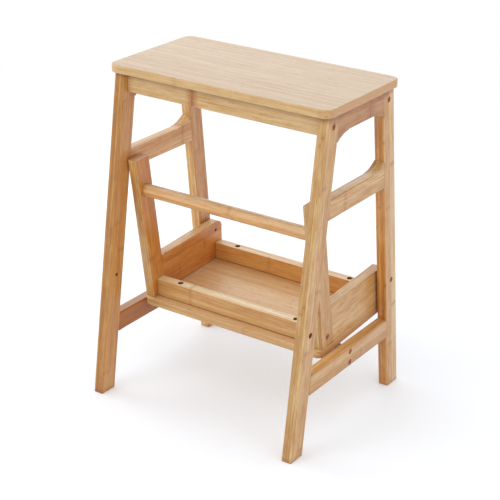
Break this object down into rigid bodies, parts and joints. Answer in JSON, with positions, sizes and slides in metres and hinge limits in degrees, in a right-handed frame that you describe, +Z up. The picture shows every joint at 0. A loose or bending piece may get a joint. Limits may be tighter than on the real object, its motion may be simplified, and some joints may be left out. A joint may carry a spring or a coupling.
{
  "type": "folding step stool",
  "caption": "Bamboo stool with splayed side frames, a seat board and a tray-shaped step that swings over to the rear and stands on the floor.",
  "frame": {"origin": "on the floor, below the middle of the seat", "axes": "+Z up, +X along the seat to the sitter's right frame in the picture, -Y to the side where the stored step's legs stand"},
  "size_m": [0.453, 0.379, 0.62],
  "materials": {
    "bamboo_frame": "satin lacquered laminated bamboo",
    "bamboo_board": "satin lacquered laminated bamboo",
    "bronze_bolt": "dark bronze plated steel",
    "zinc_steel": "zinc plated"
  },
  "bodies": {
    "stand": {"left_front_leg": "bamboo_frame", "left_rear_leg": "bamboo_frame", "right_front_leg": "bamboo_frame", "right_rear_leg": "bamboo_frame", "left_front_apron_bolt": "bronze_bolt", "left_rear_apron_bolt": "bronze_bolt", "right_front_apron_bolt": "bronze_bolt", "right_rear_apron_bolt": "bronze_bolt", "left_top_rail": "bamboo_frame", "left_mid_rail": "bamboo_frame", "left_lower_rail": "bamboo_frame", "right_top_rail": "bamboo_frame", "right_mid_rail": "bamboo_frame", "right_lower_rail": "bamboo_frame", "left_upper_stretcher_bolt": "bronze_bolt", "left_lower_stretcher_bolt": "bronze_bolt", "right_upper_stretcher_bolt": "bronze_bolt", "right_lower_stretcher_bolt": "bronze_bolt", "left_pivot_bolt": "bronze_bolt", "right_pivot_bolt": "bronze_bolt", "left_pivot_washer": "zinc_steel", "right_pivot_washer": "zinc_steel", "front_apron": "bamboo_frame", "rear_apron": "bamboo_frame", "seat_screw_1": "zinc_steel", "seat_screw_2": "zinc_steel", "seat_screw_3": "zinc_steel", "seat_screw_4": "zinc_steel", "stretcher": "bamboo_frame", "seat_board": "bamboo_board"},
    "step": {"left_step_leg": "bamboo_frame", "left_step_side_panel": "bamboo_frame", "left_pivot_insert": "zinc_steel", "left_step_front_bolt": "bronze_bolt", "left_step_rear_bolt": "bronze_bolt", "right_step_leg": "bamboo_frame", "right_step_side_panel": "bamboo_frame", "right_pivot_insert": "zinc_steel", "right_step_front_bolt": "bronze_bolt", "right_step_rear_bolt": "bronze_bolt", "step_front_rail": "bamboo_frame", "step_rear_rail": "bamboo_frame", "step_crossbar": "bamboo_frame", "step_tread_board": "bamboo_board", "tread_screw_1": "zinc_steel", "tread_screw_2": "zinc_steel", "tread_screw_3": "zinc_steel", "tread_screw_4": "zinc_steel"}
  },
  "joints": [
    {"name": "step_hinge", "type": "hinge", "parent": "stand", "child": "step", "pos_m": [0, 0.14003, 0.2285], "axis": [-1, 0, 0], "range_deg": [0, 183]}
  ]
}
